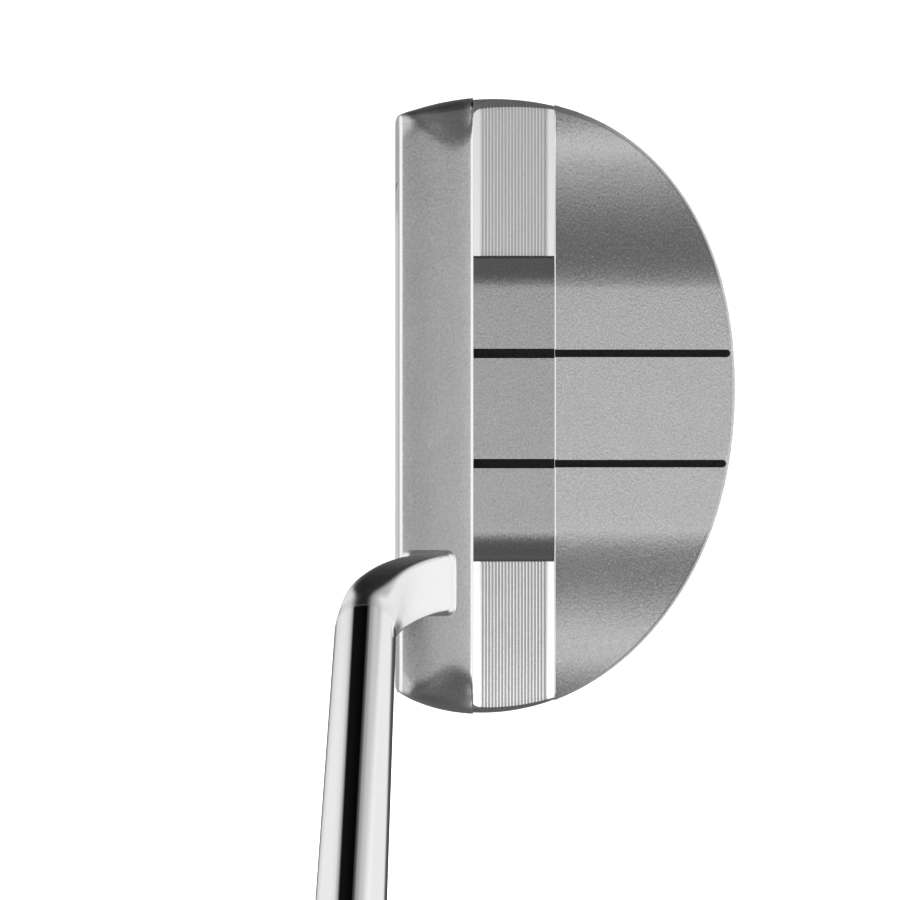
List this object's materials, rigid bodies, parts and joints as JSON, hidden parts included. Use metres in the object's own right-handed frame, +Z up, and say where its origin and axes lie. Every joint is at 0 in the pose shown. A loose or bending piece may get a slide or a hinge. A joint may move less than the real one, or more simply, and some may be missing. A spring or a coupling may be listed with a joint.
{
  "type": "mallet putter",
  "caption": "Right-handed half-moon mallet putter: milled steel head with parallel alignment lines, curved neck, slip-over steel shaft and rubber pistol grip.",
  "frame": {"origin": "on the flat of the sole, on the ground, midway between the two alignment lines", "axes": "+Z up with the head as it stands at address; the face looks along -Y and the back of the head is +Y; the toe is -X and the heel, where the golfer stands and towards which the shaft leans, is +X"},
  "size_m": [0.3793, 0.0724, 0.815],
  "materials": {
    "head_steel": "bead-blasted satin stainless steel with polished milled edges",
    "neck_steel": "finely polished stainless steel",
    "insert_aluminium": "milled satin aluminium",
    "bond_pad": "soft bonding pad",
    "line_paint": "black paint fill",
    "weight_steel": "turned stainless steel",
    "washer_nylon": "black nylon",
    "shaft_chrome": "polished chrome plate on steel",
    "epoxy": "cured shafting epoxy",
    "tape": "double-sided paper grip tape",
    "grip_rubber": "moulded matt rubber"
  },
  "bodies": {
    "root": {"head_body": "head_steel", "neck": "neck_steel", "face_insert": "insert_aluminium", "insert_bond_pad": "bond_pad", "line_fill_toe_front": "line_paint", "line_fill_toe_rear": "line_paint", "line_fill_heel_front": "line_paint", "line_fill_heel_rear": "line_paint", "sole_weight_toe": "weight_steel", "sole_weight_heel": "weight_steel", "weight_washer_toe": "washer_nylon", "weight_washer_heel": "washer_nylon", "shaft": "shaft_chrome", "shaft_bond_sleeve": "epoxy", "grip_tape": "tape", "grip": "grip_rubber"}
  },
  "joints": []
}
